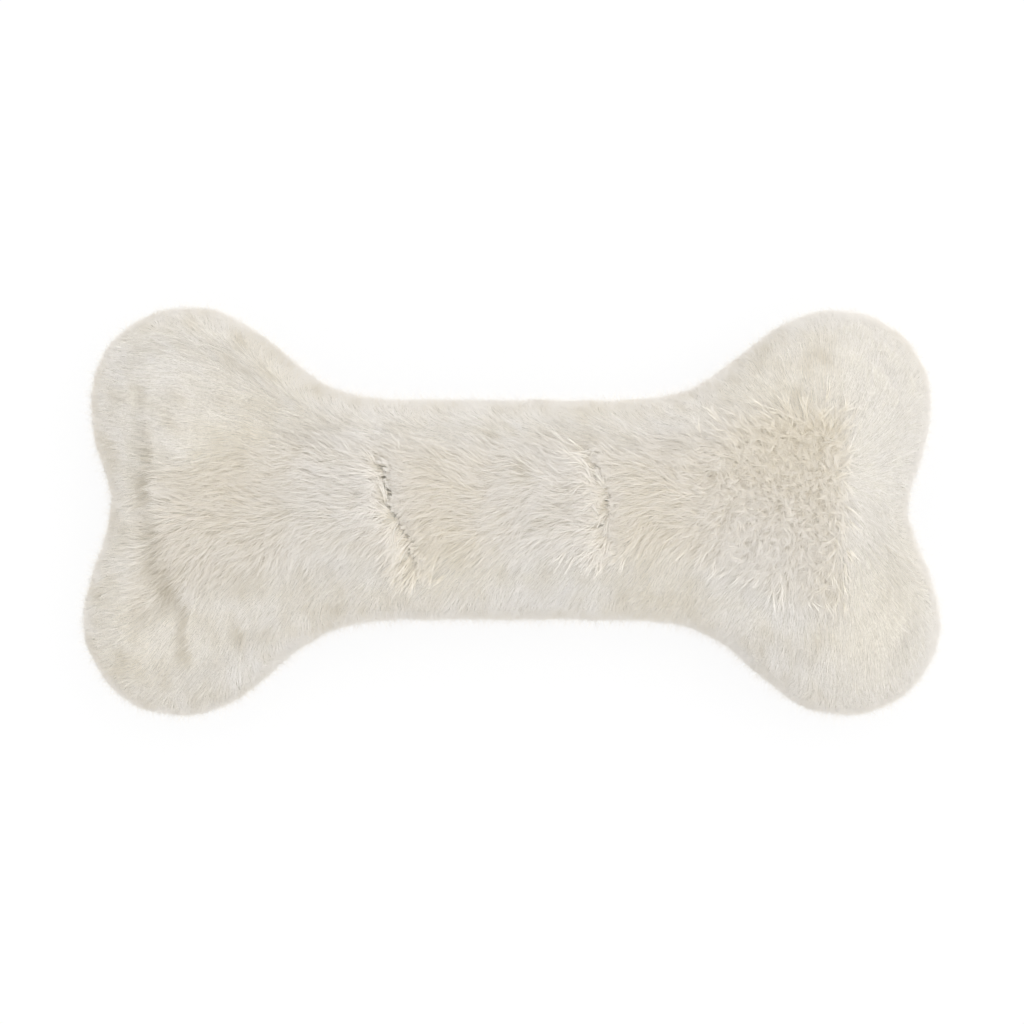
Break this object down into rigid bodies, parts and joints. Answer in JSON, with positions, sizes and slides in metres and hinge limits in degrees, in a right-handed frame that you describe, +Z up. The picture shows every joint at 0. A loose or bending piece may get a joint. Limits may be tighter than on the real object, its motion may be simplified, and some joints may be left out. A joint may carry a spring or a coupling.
{
  "type": "squeaky dog toy",
  "caption": "Bone-shaped dog toy of long cream pile plush, stuffed with fibre round a squeaker bulb that sounds when the soft front is pressed.",
  "frame": {"origin": "on the floor, under the middle of the toy's outline, with the toy lying on its back panel", "axes": "+X along the bone, +Y across it, +Z up out of the front panel"},
  "size_m": [0.3, 0.1428, 0.066],
  "materials": {
    "fur": "long soft pile",
    "thread": "spun thread",
    "fibre": "loose polyester fibre",
    "soft_plastic": "waxy, slightly see-through",
    "hard_plastic": "smooth",
    "reed_film": "thin film"
  },
  "bodies": {
    "back_half": {"back_fur_panel": "fur", "perimeter_seam_thread": "thread", "closing_seam_thread": "thread", "left_upper_lobe_fill": "fibre", "left_lower_lobe_fill": "fibre", "right_upper_lobe_fill": "fibre", "right_lower_lobe_fill": "fibre", "left_shaft_fill": "fibre", "right_shaft_fill": "fibre", "back_centre_fill": "fibre", "squeaker_bulb": "soft_plastic", "reed_sleeve": "hard_plastic", "reed_block": "hard_plastic", "reed_wedge": "hard_plastic"},
    "front_half": {"front_fur_panel": "fur", "front_centre_fill": "fibre"},
    "reed": {"reed_tongue": "reed_film"}
  },
  "joints": [
    {"name": "squeeze", "type": "slide", "parent": "back_half", "child": "front_half", "axis": [0, 0, -1], "range_m": [0, 0.01], "stiffness_N_per_m": 600, "springref_m": -0.005, "deforming": ["front_fur_panel", "front_centre_fill", "back_centre_fill", "left_upper_lobe_fill", "left_lower_lobe_fill", "right_upper_lobe_fill", "right_lower_lobe_fill", "left_shaft_fill", "right_shaft_fill", "squeaker_bulb"]},
    {"name": "reed_flutter", "type": "hinge", "parent": "back_half", "child": "reed", "pos_m": [-0.00047, 0.00061, 0.0238], "axis": [0, 1, 0], "range_deg": [-2.5, 2.5], "stiffness_Nm_per_rad": 0.002}
  ]
}
